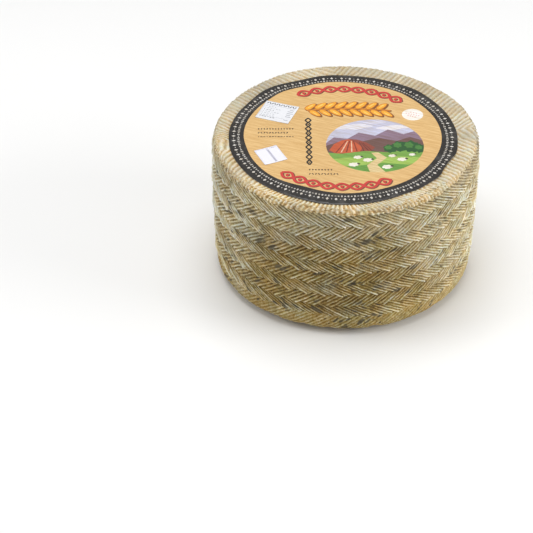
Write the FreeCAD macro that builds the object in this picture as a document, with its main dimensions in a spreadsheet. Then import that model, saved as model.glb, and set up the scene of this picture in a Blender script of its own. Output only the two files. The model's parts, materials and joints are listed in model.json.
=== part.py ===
import FreeCAD, Part
import math
import os

# A whole wheel of semi-cured sheep cheese: a short fat drum whose rind keeps
# the print of the plaited grass belt it was pressed in.  Rows of slanting
# ridges run round the side and lean the other way in every next row, and the
# ridges turn over the shoulder and run inward on the rim of the top.  A round
# paper label lies on the top, with two small paper stickers on it.
#
# Row frame: +Z up, origin at the middle of the flat face it rests on.
# Millimetres throughout.

doc = FreeCAD.newDocument("cheese")

# ------------------------------------------------------------------ dimensions
sheet = doc.addObject("Spreadsheet::Sheet", "Sheet")
sizes = [
    # alias, value, meaning
    ("wheel_radius", 94.0, "crest of the ridges at the widest place"),
    ("belly_share", 0.71, "how far up the side that widest place is, as a share"),
    ("wheel_height", 108.2, "resting face to the highest crest of the rim"),
    ("foot_radius", 78.1, "edge of the flat resting face"),
    ("heel_low_radius", 86.8, "crest radius half way up the rounded lower edge"),
    ("heel_low_height", 2.4, "height of that place"),
    ("heel_radius", 92.2, "crest radius where the side starts"),
    ("heel_height", 9.4, "height where the side starts"),
    ("shoulder_drop", 6.0, "height of the rounded shoulder"),
    ("shoulder_run", 3.8, "width of the rounded shoulder"),
    ("row_bottom", 16.4, "lower edge of the lowest plaited row"),
    ("row_pitch", 9.6, "height of one plaited row"),
    ("row_count", 9, "plaited rows round the side"),
    ("ridge_count", 141, "ridges round each row"),
    ("ridge_depth", 0.9, "crest to groove on the side"),
    ("slant_right", 1.85, "run over rise of a ridge that leans right going down"),
    ("slant_left", 1.40, "run over rise of a ridge that leans left going down"),
    ("bed_drop", 0.7, "how far the label's bed lies below the rim's crest"),
    ("bed_radius", 84.8, "foot of the rim's inner slope"),
    ("bed_inner", 75.0, "where the rim's grooves run out under the label"),
    ("label_radius", 80.0, "round paper label"),
    ("label_thick", 0.3, "paper and glue"),
    ("label_shift_across", -2.2, "label centre off the wheel's axis, along X"),
    ("label_shift_deep", -3.2, "label centre off the wheel's axis, along Y"),
    ("wide_width", 25.0, "larger sticker"),
    ("wide_length", 23.5, "larger sticker"),
    ("wide_across", -48.0, "larger sticker's centre, along X"),
    ("wide_deep", 27.5, "larger sticker's centre, along Y"),
    ("wide_turn", -21.0, "larger sticker's turn about Z, degrees"),
    ("small_width", 17.0, "smaller sticker"),
    ("small_length", 19.0, "smaller sticker"),
    ("small_across", -52.8, "smaller sticker's centre, along X"),
    ("small_deep", -27.4, "smaller sticker's centre, along Y"),
    ("small_turn", 24.0, "smaller sticker's turn about Z, degrees"),
    ("sticker_thick", 0.2, "paper and glue"),
]
for row, (alias, value, meaning) in enumerate(sizes, start=1):
    sheet.set("A%d" % row, alias)
    sheet.set("B%d" % row, repr(value))
    sheet.set("C%d" % row, meaning)
    sheet.setAlias("B%d" % row, alias)
doc.recompute()


def size(alias):
    return float(sheet.get(alias))


# ------------------------------------------------------------------- the wheel
# The rind is a zig-zag of crests and grooves, which no sketch and no sweep
# makes, so the wheel is one closed shell of flat facets.  Its columns of points
# follow the ridges: every other column is a crest, and at the edge of each
# plaited row all the columns turn together.

radius = size("wheel_radius")
height = size("wheel_height")
drop, run = size("shoulder_drop"), size("shoulder_run")
heel_r, heel_z = size("heel_radius"), size("heel_height")
bed_z = height - size("bed_drop")
depth = size("ridge_depth")
ridges = int(size("ridge_count"))
rows = int(size("row_count"))
pitch = size("row_pitch")
columns = 2 * ridges


def side_radius(z):
    """Crest radius of the side and shoulder at a height."""
    corner = height - drop
    share = (min(z, corner) - heel_z) / (corner - heel_z)
    side = heel_r + (radius - heel_r) * math.sin(share / size("belly_share") * math.pi / 2)
    rise = min(max(z - corner, 0.0) / drop, 1.0)
    return side - run * (1 - math.sqrt(1 - rise * rise))


# levels from the foot up to the label's bed: crest radius, crest height,
# groove depth outward, groove depth downward, and turn of the columns in mm
levels = []
turn = 0.0


def level(r, z, out, down, slide):
    global turn
    turn += slide
    levels.append((r, z, out, down, turn))


level(size("foot_radius"), 0.0, 0.0, 0.0, 0.0)
level(size("heel_low_radius"), size("heel_low_height"), 0.35 * depth, 0.0, 2.0)
level(heel_r, heel_z, 0.6 * depth, 0.0, 4.0)
z = size("row_bottom")
level(side_radius(z), z, depth, 0.0, (z - heel_z) * size("slant_left"))
for row in range(rows):
    z += pitch
    # the lowest row leans right going down, and each next row the other way
    lean = -size("slant_right") if row % 2 == 0 else size("slant_left")
    level(side_radius(z), z, depth, 0.0, pitch * lean)
z_mid = height - 0.25 * drop
level(side_radius(z_mid), z_mid, 0.7 * depth, 0.5 * depth, 0.0)
level(side_radius(height), height, 0.0, depth, 0.0)
level(size("bed_radius"), bed_z, 0.0, 0.7 * depth, 0.0)
level(size("bed_inner"), bed_z, 0.0, 0.0, 0.0)

points = []
for r, z, out, down, slide in levels:
    ring = []
    for i in range(columns):
        angle = 2 * math.pi * i / columns + slide / radius
        groove = i % 2
        rr, zz = r - groove * out, z - groove * down
        ring.append(FreeCAD.Vector(rr * math.cos(angle), rr * math.sin(angle), zz))
    points.append(ring)


def facet(*corners):
    return Part.Face(Part.makePolygon(list(corners) + [corners[0]]))


facets = [facet(*reversed(points[0])), facet(*points[-1])]
for low, high in zip(points, points[1:]):
    for i in range(columns):
        j = (i + 1) % columns
        facets.append(facet(low[i], low[j], high[j]))
        facets.append(facet(low[i], high[j], high[i]))
shell = Part.Shell(facets)
if not shell.isClosed():
    raise RuntimeError("the wheel's shell is open")
solid = Part.Solid(shell)
if solid.Volume < 0:
    solid.reverse()

wheel = doc.addObject("Part::Feature", "CheeseWheel")
wheel.Label = "cheese_wheel"
wheel.Shape = solid
wheel.Placement = FreeCAD.Placement()


# ----------------------------------------------------- label and paper stickers
def plane_of(body, role):
    for feature in body.Origin.OriginFeatures:
        if feature.Role == role:
            return feature
    raise RuntimeError("no plane " + role)


def sheet_body(name, label):
    body = doc.addObject("PartDesign::Body", name)
    body.Label = label
    sketch = body.newObject("Sketcher::SketchObject", name + "Outline")
    sketch.AttachmentSupport = [(plane_of(body, "XY_Plane"), "")]
    sketch.MapMode = "FlatFace"
    return body, sketch


def pad(body, sketch, name, thick):
    feature = body.newObject("PartDesign::Pad", name)
    feature.Profile = sketch
    feature.setExpression("Length", thick)
    sketch.Visibility = False
    body.Tip = feature
    return feature


import Sketcher

# the label: a disc laid on the bed inside the rim, a little off the axis
label, outline = sheet_body("TopLabel", "paper_label")
ring = outline.addGeometry(
    Part.Circle(FreeCAD.Vector(0, 0, 0), FreeCAD.Vector(0, 0, 1), 80.0), False)
outline.addConstraint(Sketcher.Constraint("Coincident", ring, 3, -1, 1))
outline.addConstraint(Sketcher.Constraint("Radius", ring, 80.0))
outline.renameConstraint(1, "disc_radius")
outline.setExpression("Constraints.disc_radius", "Sheet.label_radius")
pad(label, outline, "LabelPaper", "Sheet.label_thick")
label.setExpression("Placement.Base.x", "Sheet.label_shift_across")
label.setExpression("Placement.Base.y", "Sheet.label_shift_deep")
label.setExpression("Placement.Base.z", "Sheet.wheel_height - Sheet.bed_drop")


# the stickers: small rectangles on the label
def sticker(name, node, stem, guess_w, guess_l):
    body, sketch = sheet_body(name, node)
    w, l = guess_w / 2.0, guess_l / 2.0
    corner = [FreeCAD.Vector(-w, -l, 0), FreeCAD.Vector(w, -l, 0),
              FreeCAD.Vector(w, l, 0), FreeCAD.Vector(-w, l, 0)]
    for a in range(4):
        sketch.addGeometry(Part.LineSegment(corner[a], corner[(a + 1) % 4]), False)
    for a in range(4):
        sketch.addConstraint(Sketcher.Constraint("Coincident", a, 2, (a + 1) % 4, 1))
    sketch.addConstraint(Sketcher.Constraint("Horizontal", 0))
    sketch.addConstraint(Sketcher.Constraint("Vertical", 1))
    sketch.addConstraint(Sketcher.Constraint("Horizontal", 2))
    sketch.addConstraint(Sketcher.Constraint("Vertical", 3))
    sketch.addConstraint(Sketcher.Constraint("Symmetric", 0, 1, 2, 1, -1, 1))
    wide = sketch.addConstraint(Sketcher.Constraint("Distance", 0, guess_w))
    deep = sketch.addConstraint(Sketcher.Constraint("Distance", 1, guess_l))
    sketch.renameConstraint(wide, "side_wide")
    sketch.renameConstraint(deep, "side_deep")
    sketch.setExpression("Constraints.side_wide", "Sheet.%s_width" % stem)
    sketch.setExpression("Constraints.side_deep", "Sheet.%s_length" % stem)
    pad(body, sketch, name + "Paper", "Sheet.sticker_thick")
    body.Placement = FreeCAD.Placement(
        FreeCAD.Vector(0, 0, 0), FreeCAD.Rotation(FreeCAD.Vector(0, 0, 1), 1.0))
    body.setExpression("Placement.Rotation.Angle", "Sheet.%s_turn" % stem)
    body.setExpression("Placement.Base.x", "Sheet.%s_across" % stem)
    body.setExpression("Placement.Base.y", "Sheet.%s_deep" % stem)
    body.setExpression(
        "Placement.Base.z", "Sheet.wheel_height - Sheet.bed_drop + Sheet.label_thick")
    return body


wide_sticker = sticker("WideSticker", "wide_sticker", "wide", 25.0, 23.5)
small_sticker = sticker("SmallSticker", "small_sticker", "small", 17.0, 19.0)

doc.recompute()

# ------------------------------------------------------------ checks and files
for obj in doc.Objects:
    if "Invalid" in obj.State or "Error" in obj.State:
        raise RuntimeError("%s did not recompute: %s" % (obj.Name, obj.State))

parts = [wheel, label, wide_sticker, small_sticker]
for obj in parts:
    shape = obj.Shape
    if shape.isNull() or not shape.isValid() or len(shape.Solids) != 1:
        raise RuntimeError("%s is not one valid solid" % obj.Label)
    box = shape.BoundBox
    print("%-14s volume %11.1f mm3  faces %5d  x %.2f..%.2f  y %.2f..%.2f  z %.2f..%.2f" % (
        obj.Label, shape.Volume, len(shape.Faces),
        box.XMin, box.XMax, box.YMin, box.YMax, box.ZMin, box.ZMax))

os.makedirs("parts", exist_ok=True)
for obj in parts:
    obj.Shape.exportStep("parts/%s.step" % obj.Label)
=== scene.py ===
import json
import math

import bpy
import numpy as np
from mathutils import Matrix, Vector
from mathutils.geometry import delaunay_2d_cdt

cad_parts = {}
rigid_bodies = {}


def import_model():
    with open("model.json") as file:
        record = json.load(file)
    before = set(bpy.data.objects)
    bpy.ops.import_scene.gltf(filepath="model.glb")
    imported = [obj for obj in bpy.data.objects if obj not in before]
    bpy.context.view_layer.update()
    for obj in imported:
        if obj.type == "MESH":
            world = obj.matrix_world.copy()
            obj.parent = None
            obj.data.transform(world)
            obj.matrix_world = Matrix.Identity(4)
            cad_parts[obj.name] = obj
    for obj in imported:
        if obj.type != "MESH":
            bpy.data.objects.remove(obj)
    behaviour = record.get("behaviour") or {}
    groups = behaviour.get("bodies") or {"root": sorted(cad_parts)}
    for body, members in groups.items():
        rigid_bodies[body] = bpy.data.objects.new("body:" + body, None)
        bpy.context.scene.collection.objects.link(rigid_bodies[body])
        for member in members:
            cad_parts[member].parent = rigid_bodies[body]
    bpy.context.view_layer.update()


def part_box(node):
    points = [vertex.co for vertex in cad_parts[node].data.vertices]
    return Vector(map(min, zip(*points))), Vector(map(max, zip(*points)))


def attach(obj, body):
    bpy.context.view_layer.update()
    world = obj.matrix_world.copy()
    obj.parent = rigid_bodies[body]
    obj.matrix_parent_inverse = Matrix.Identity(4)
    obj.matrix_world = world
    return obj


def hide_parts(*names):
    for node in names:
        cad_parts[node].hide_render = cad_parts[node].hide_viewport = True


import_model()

# A whole wheel of semi-cured sheep cheese. Lengths in this script are in
# millimetres until a mesh is written, which is in metres. Angles round the
# wheel are counted from +X towards +Y, so the shown side is at -90 degrees.
MM = 0.001

wheel_low, wheel_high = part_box("cheese_wheel")
label_low, label_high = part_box("paper_label")
RADIUS = (wheel_high.x - wheel_low.x) / 2 / MM
HEIGHT = (wheel_high.z - wheel_low.z) / MM
LABEL_R = (label_high.x - label_low.x) / 2 / MM
LABEL_X = (label_high.x + label_low.x) / 2 / MM
LABEL_Y = (label_high.y + label_low.y) / 2 / MM

ROW_BOTTOM, ROW_PITCH, ROWS = 16.4, 9.6, 9
RIDGES = 141                      # ridges round a row, three to a strand
SLANT_RIGHT, SLANT_LEFT = 1.85, 1.40
HEEL_R, HEEL_Z, FOOT_R = 92.2, 9.4, 78.1
DROP, RUN = 6.0, 3.8              # rounded shoulder
BELLY = 0.71                      # where the side is widest, as a share of its height


# ---------------------------------------------------------------- small tools
def step(x, low, high):
    t = np.clip((x - low) / (high - low), 0.0, 1.0)
    return t * t * (3 - 2 * t)


def noise(turns, v, across, up, seed):
    """Smooth value noise, -1..1, that closes round the wheel: turns repeats
    after 1, and v runs over 0..1."""
    grid = np.random.RandomState(seed).rand(up + 3, across) * 2 - 1
    x = np.mod(turns, 1.0) * across
    y = np.clip(v, 0, 1) * up
    i, j = np.floor(x).astype(int), np.floor(y).astype(int)
    fx, fy = x - i, y - j
    fx, fy = fx * fx * (3 - 2 * fx), fy * fy * (3 - 2 * fy)
    i0, i1 = i % across, (i + 1) % across
    return (grid[j, i0] * (1 - fx) * (1 - fy) + grid[j, i1] * fx * (1 - fy)
            + grid[j + 1, i0] * (1 - fx) * fy + grid[j + 1, i1] * fx * fy)


def layered(turns, v, across, up, seed, layers=3):
    total, weight = 0.0, 0.0
    for n in range(layers):
        w = 0.5 ** n
        total = total + w * noise(turns, v, across * 2 ** n, up * 2 ** n, seed + 17 * n)
        weight += w
    return total / weight


def plane_noise(x, y, cell, seed):
    """Smooth value noise, -1..1, over the plane, with cells this wide."""
    n = int(240 / cell) + 4
    grid = np.random.RandomState(seed).rand(n, n) * 2 - 1
    a, b = (x + 115) / cell, (y + 115) / cell
    i = np.clip(np.floor(a).astype(int), 0, n - 2)
    j = np.clip(np.floor(b).astype(int), 0, n - 2)
    fx, fy = a - i, b - j
    fx, fy = fx * fx * (3 - 2 * fx), fy * fy * (3 - 2 * fy)
    return (grid[j, i] * (1 - fx) * (1 - fy) + grid[j, i + 1] * fx * (1 - fy)
            + grid[j + 1, i] * (1 - fx) * fy + grid[j + 1, i + 1] * fx * fy)


def pick(ids, seed, low=0.0, high=1.0):
    """A fixed random number for each whole number in ids."""
    table = np.random.RandomState(seed).rand(4096)
    return low + (high - low) * table[np.mod(ids, 4096)]


def crest_profile(phase):
    """Across one ridge, 0 in the groove and 1 on the crest: a rounded groove
    where a grass leaf pressed, and a narrow crest between two leaves."""
    x = 1 - np.abs(2 * phase - 1)
    return 0.62 * x ** 1.25 + 0.38 * x ** 2.2


def side_radius(z):
    corner = HEIGHT - DROP
    share = np.clip((z - HEEL_Z) / (corner - HEEL_Z), 0, 1)
    side = HEEL_R + (RADIUS - HEEL_R) * np.sin(share / BELLY * math.pi / 2)
    rise = np.clip((z - corner) / DROP, 0, 1)
    return side - RUN * (1 - np.sqrt(1 - rise ** 2))


def frontal(angle):
    """1 round the shown side, 0 on the flanks and behind: there the curd
    swelled out in crumbs between the board and the belt."""
    return step(np.cos(angle + math.pi / 2), 0.50, 0.88)


def seam_place(turns):
    """Where on the rounded shoulder the board's print gives way to the belt's,
    as the angle round the shoulder's own curve."""
    angle = 2 * math.pi * turns
    flank = step(-np.cos(angle), 0.3, 0.9)
    ragged = 0.13 * noise(turns, turns * 0, 150, 1, 61) + 0.08 * noise(turns, turns * 0, 420, 1, 62) + 0.08 * noise(turns, turns * 0, 24, 1, 63)
    front = frontal(angle)
    return np.clip(0.82 + 0.58 * front + 0.20 * flank * (1 - front) + ragged * (1 - 0.35 * front), 0.55, 1.44)


def out_of_round(angle, z):
    """The wheel isn't turned on a lathe: slow swells of the whole body."""
    turns = angle / (2 * math.pi)
    return (0.30 * np.sin(2 * angle + 0.7) + 0.18 * np.sin(3 * angle + 2.1)
            + 0.35 * noise(turns, z / 110, 14, 3, 5))


def make_mesh(name, points, quads, triangles=None):
    """A smooth mesh from an array of quads, and a list of triangles after it."""
    mesh = bpy.data.meshes.new(name)
    points = np.asarray(points, np.float32) * MM
    quads = np.asarray(quads, np.int32)
    sizes, loops = np.full(len(quads), 4, np.int32), quads.ravel()
    if triangles:
        triangles = np.asarray(triangles, np.int32)
        sizes = np.concatenate([sizes, np.full(len(triangles), 3, np.int32)])
        loops = np.concatenate([loops, triangles.ravel()])
    mesh.vertices.add(len(points))
    mesh.vertices.foreach_set("co", points.ravel())
    mesh.loops.add(len(loops))
    mesh.loops.foreach_set("vertex_index", loops)
    mesh.polygons.add(len(sizes))
    mesh.polygons.foreach_set("loop_start", np.concatenate([[0], np.cumsum(sizes)[:-1]]).astype(np.int32))
    mesh.update(calc_edges=True)
    mesh.polygons.foreach_set("use_smooth", np.full(len(sizes), True))
    obj = bpy.data.objects.new(name, mesh)
    bpy.context.scene.collection.objects.link(obj)
    return obj


def add_value(obj, name, values):
    attribute = obj.data.attributes.new(name, "FLOAT", "POINT")
    attribute.data.foreach_set("value", np.asarray(values, np.float32))


def grid_faces(rows, columns, offset=0):
    """Quads of a grid that closes round, facing out when rows go up."""
    i = np.arange(columns)
    j = (i + 1) % columns
    quads = []
    for k in range(rows - 1):
        a = offset + k * columns
        quads.append(np.stack([a + i, a + j, a + columns + j, a + columns + i], 1))
    return np.concatenate(quads)


# ------------------------------------------------------------ mould and colour
def spots(angle, z, count, seed, long_mm, wide_mm, lean=None):
    """Soft spots of mould, longer along the ridges. Returns 0..1."""
    rng = np.random.RandomState(seed)
    total = np.zeros_like(z)
    for _ in range(count):
        a0 = rng.rand() * 2 * math.pi
        z0 = 4 + rng.rand() * (HEIGHT - 8)
        size = rng.rand() ** 1.8
        length = long_mm[0] + (long_mm[1] - long_mm[0]) * size
        width = wide_mm[0] + (wide_mm[1] - wide_mm[0]) * size
        strength = 0.55 + 0.45 * rng.rand()
        row = int(math.floor((z0 - ROW_BOTTOM) / ROW_PITCH))
        slant = -SLANT_RIGHT if row % 2 == 0 else SLANT_LEFT
        slant += rng.randn() * 0.2
        d = np.mod(angle - a0 + math.pi, 2 * math.pi) - math.pi
        near = (np.abs(d) * RADIUS < 9) & (np.abs(z - z0) < 9)
        if not near.any():
            continue
        dx, dz = d[near] * RADIUS, z[near] - z0
        norm = math.hypot(slant, 1.0)
        along = (dx * slant + dz) / norm
        aside = (dx - dz * slant) / norm
        q = (along / length) ** 2 + (aside / width) ** 2
        total[near] = np.maximum(total[near], strength * np.exp(-q * 1.6))
    return total


# -------------------------------------------------------------- the rind: side
# Each plaited row is a strip of its own, a closed hoop. Its columns of points
# follow the ridges, and its lower end lies over the row below it in a saw edge
# of strand tips, so the rows lap like the plait that printed them.
def build_rows(name, first, last):
    per_ridge = 8
    columns = RIDGES * per_ridge
    c = np.arange(columns)
    ridge = c // per_ridge
    strand = ridge // 3
    crest = crest_profile((c % per_ridge) / per_ridge)
    stops = [0.0, 0.02, 0.05, 0.10, 0.18, 0.28, 0.40, 0.52, 0.64, 0.76, 0.87, 0.95, 1.0]
    points, faces = [], []
    att = {n: [] for n in ("crest", "relief", "fibre", "angle")}
    offset = 0
    turn = [0.0]
    for k in range(ROWS):
        turn.append(turn[-1] + ROW_PITCH * (-SLANT_RIGHT if k % 2 == 0 else SLANT_LEFT))
    for k in range(first, last):
        right = k % 2 == 0
        lean = -SLANT_RIGHT if right else SLANT_LEFT
        foot = ROW_BOTTOM + k * ROW_PITCH
        around = c / columns
        # place across the strand, from its tall leading ridge to the far side
        place = (c % (3 * per_ridge)) / (3.0 * per_ridge)
        place = place if right else 1 - 1 / (3.0 * per_ridge) - place
        lead = np.where(ridge % 3 == (0 if right else 2), 1.0, 0.0)
        flat = np.zeros(columns)
        reach = 0.75 + 0.5 * pick(strand + 61 * k, 31 + k)
        saw = -1.15 + 2.2 * place ** 0.85
        tips = saw * reach + 0.30 * noise(around, flat, 141, 1, 90 + k) + 0.55 * noise(around, flat, 13, 1, 190 + k)
        if k == 0:
            tips = tips - 0.3
        z_low = foot + tips
        z_top = foot + ROW_PITCH + 1.9
        if k == ROWS - 1:
            z_top = z_top + 2.5 * (1 - frontal(2 * math.pi * around))
        strand_tone = pick(strand * 7 + k * 131, 9) - 0.5
        ridge_tall = 0.68 + 0.55 * pick(ridge * 13 + k * 997, 7)
        hoop_a, hoop_z, hoop_r = [], [], []
        values = {n: [] for n in att}
        for t in stops:
            z = z_low + (z_top - z_low) * t
            angle = 2 * math.pi * around + (turn[k] + lean * (z - foot)) / RADIUS
            turns = angle / (2 * math.pi)
            share = (z - foot) / ROW_PITCH
            worn = 0.5 + 0.5 * layered(turns, z / 110, 46, 9, 455, 2)      # where the print is rubbed faint
            tall = ridge_tall * (1 + 0.34 * noise(turns, z / 110, 380, 56, 55) + 0.22 * noise(turns, z / 110, 700, 76, 56))
            tall = tall * (1 + 0.30 * lead) * (1.12 - 0.42 * np.clip(share, 0, 1))
            tall = tall * (0.60 + 0.62 * step(worn, 0.15, 0.6)) * (1.0 if right else 0.86)
            tall = tall * (0.55 + 0.45 * step(np.clip(share + 0.22, 0, 1), 0.0, 0.2))
            shingle = 0.14 - 0.30 * share - 0.9 * step(np.full(columns, t), 0.86, 1.0)
            if k == ROWS - 1:
                # the top row goes under the board's print at the seam
                over = z - (HEIGHT - DROP - 0.2 + DROP * np.cos(seam_place(turns)))
                shingle = 0.10 - 0.20 * share - 1.9 * step(over, -0.35, 1.2)
            tip_round = -0.50 * np.clip(1 - t / 0.055, 0, 1) ** 2
            trough = -0.11 * np.sin(math.pi * place) * (1 - 0.4 * share)
            tilt = 0.13 * strand_tone
            grain = 0.16 * noise(turns, z / 110, 560, 76, 70) + 0.12 * noise(turns, z / 110, 1000, 120, 71)
            lump = 0.24 * layered(turns, z / 110, 60, 12, 72, 2) + 0.16 * noise(turns, z / 110, 150, 30, 74)
            wander = 0.48 * noise(turns, z / 110, 240, 30, 400) + 0.22 * noise(turns, z / 110, 560, 60, 401)
            r = (side_radius(z) - 0.64 + 0.74 * tall * crest
                 + shingle + tip_round + trough + tilt + grain + lump + out_of_round(angle, z))
            hoop_a.append(angle + wander / RADIUS)
            hoop_z.append(z + 0.10 * noise(turns, z / 110, 300, 50, 402))
            hoop_r.append(r)
            # painted light and shade along each row: paler at its proud lower end, darker at its upper end where it
            # goes under the row above
            lift = (0.12 if right else 0.06) * (1 - 2 * np.clip(share, 0, 1))
            values["crest"].append(np.clip(crest * (0.22 + 0.48 * tall) + 0.13 + lift + 0.9 * grain, 0, 1.25))
            values["relief"].append(trough + tilt + lump + tip_round)
            values["fibre"].append(0.7 * (pick(c + 1500 * k, 411) - 0.5) + 0.3 * noise(turns, z / 110, 900, 30, 412))
            values["angle"].append(angle)
        # curl both ends in and close the hoop behind
        low = [(hoop_a[0], hoop_z[0] + 1.6, hoop_r[0] - 4.0), (hoop_a[0], hoop_z[0] + 0.35, hoop_r[0] - 1.5),
               (hoop_a[0], hoop_z[0] - 0.10, hoop_r[0] - 0.45)]
        high = [(hoop_a[-1], hoop_z[-1] - 1.0, hoop_r[-1] - 3.0)]
        hoop_a = [v[0] for v in low] + hoop_a + [v[0] for v in high]
        hoop_z = [v[1] for v in low] + hoop_z + [v[1] for v in high]
        hoop_r = [v[2] for v in low] + hoop_r + [v[2] for v in high]
        for n in att:
            att[n].append(np.concatenate([values[n][0]] * 3 + values[n] + [values[n][-1]]))
        a, z, r = np.concatenate(hoop_a), np.concatenate(hoop_z), np.concatenate(hoop_r)
        points.append(np.stack([r * np.cos(a), r * np.sin(a), z], 1))
        count = len(hoop_a)
        faces.append(grid_faces(count, columns, offset))
        i = np.arange(columns)
        j = (i + 1) % columns
        top_row = offset + (count - 1) * columns
        faces.append(np.stack([top_row + i, top_row + j, offset + j, offset + i], 1))
        offset += count * columns
    points = np.concatenate(points)
    obj = make_mesh(name, points, np.concatenate(faces))
    for n in ("crest", "relief", "fibre"):
        add_value(obj, n, np.concatenate(att[n]))
    return obj, np.concatenate(att["angle"]), points[:, 2]


# ------------------------------------------------- rind: pressed top and bottom
BOARD_TURN = math.radians(5.0)


def round_profile(phase):
    """Across one ridge of the board's print: an even swell."""
    return (0.5 - 0.5 * np.cos(2 * math.pi * phase)) ** 0.95


def board_ridges(x, y, seed=0):
    """Print of the ribbed boards: four quarters of ridges that meet in chevrons
    pointing to the middle. Returns (crest 0..1, ridge number)."""
    pitch = 3.6
    ca, sa = math.cos(BOARD_TURN), math.sin(BOARD_TURN)
    px = (x - 1.5) * ca + y * sa
    py = -(x - 1.5) * sa + y * ca
    sx, sy = np.clip(px / 12, -1, 1), np.clip(py / 12, -1, 1)
    lean = np.radians(43.5 + 4.5 * sy - sx * (1 + 2 * sy))
    warp = 0.42 * plane_noise(x, y, 11, seed + 1) + 0.34 * plane_noise(x, y, 3.6, seed + 2)
    u = np.abs(px) * np.cos(lean) - np.abs(py) * np.sin(lean) + warp
    u = u / pitch + 200
    number = np.floor(u).astype(int)
    quarter = (px > 0).astype(int) * 2 + (py > 0).astype(int)
    return round_profile(u - number), number + 400 * quarter


def label_lift(angle):
    """How far the label's edge stands off or dips, round the label, in mm."""
    def bump(at, wide, by):
        d = np.mod(angle - math.radians(at) + math.pi, 2 * math.pi) - math.pi
        return by * np.exp(-(d / math.radians(wide)) ** 2)
    return (bump(127, 9, 1.0) + bump(111, 6, -0.55) + bump(98, 8, 0.35)
            + bump(246, 11, 0.60) + bump(275, 9, -0.20) + bump(334, 12, 0.75)
            + bump(308, 8, -0.30) + bump(48, 10, 0.45) + bump(20, 7, 0.30)
            + bump(215, 10, 0.30) + bump(165, 9, -0.25) + bump(190, 7, 0.2))


def paper_reach(x, y):
    """How far the paper goes past its circle, in mm, by the direction."""
    angle = np.arctan2(y - LABEL_Y, x - LABEL_X)

    def bump(at, wide, by):
        d = np.mod(angle - math.radians(at) + math.pi, 2 * math.pi) - math.pi
        return by * np.exp(-(d / math.radians(wide)) ** 2)
    return (0.15 + bump(-102, 40, 2.6) + bump(66, 44, 1.5) + bump(134, 9, 0.8) + bump(150, 10, -0.8)
            + bump(-140, 9, 0.5) + bump(-38, 5, 1.0) + bump(-27, 8, -1.1) + bump(-14, 6, 0.5) + bump(-60, 6, -0.9)
            + 0.18 * np.sin(7 * angle + 2.0) + 0.10 * np.sin(17 * angle))


def label_top(x, y):
    """Height of the label's upper face over the wheel's own x, y."""
    dx, dy = x - LABEL_X, y - LABEL_Y
    r = np.hypot(dx, dy)
    angle = np.arctan2(dy, dx)
    dome = 107.95 - 0.50 * np.clip(r / LABEL_R, 0, 1.1) ** 5
    edge = step(r, 58.0, LABEL_R) ** 1.3
    soft = 0.10 * plane_noise(x, y, 21, 601) + 0.05 * plane_noise(x, y, 9, 602)
    return dome + edge * label_lift(angle) + soft


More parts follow.
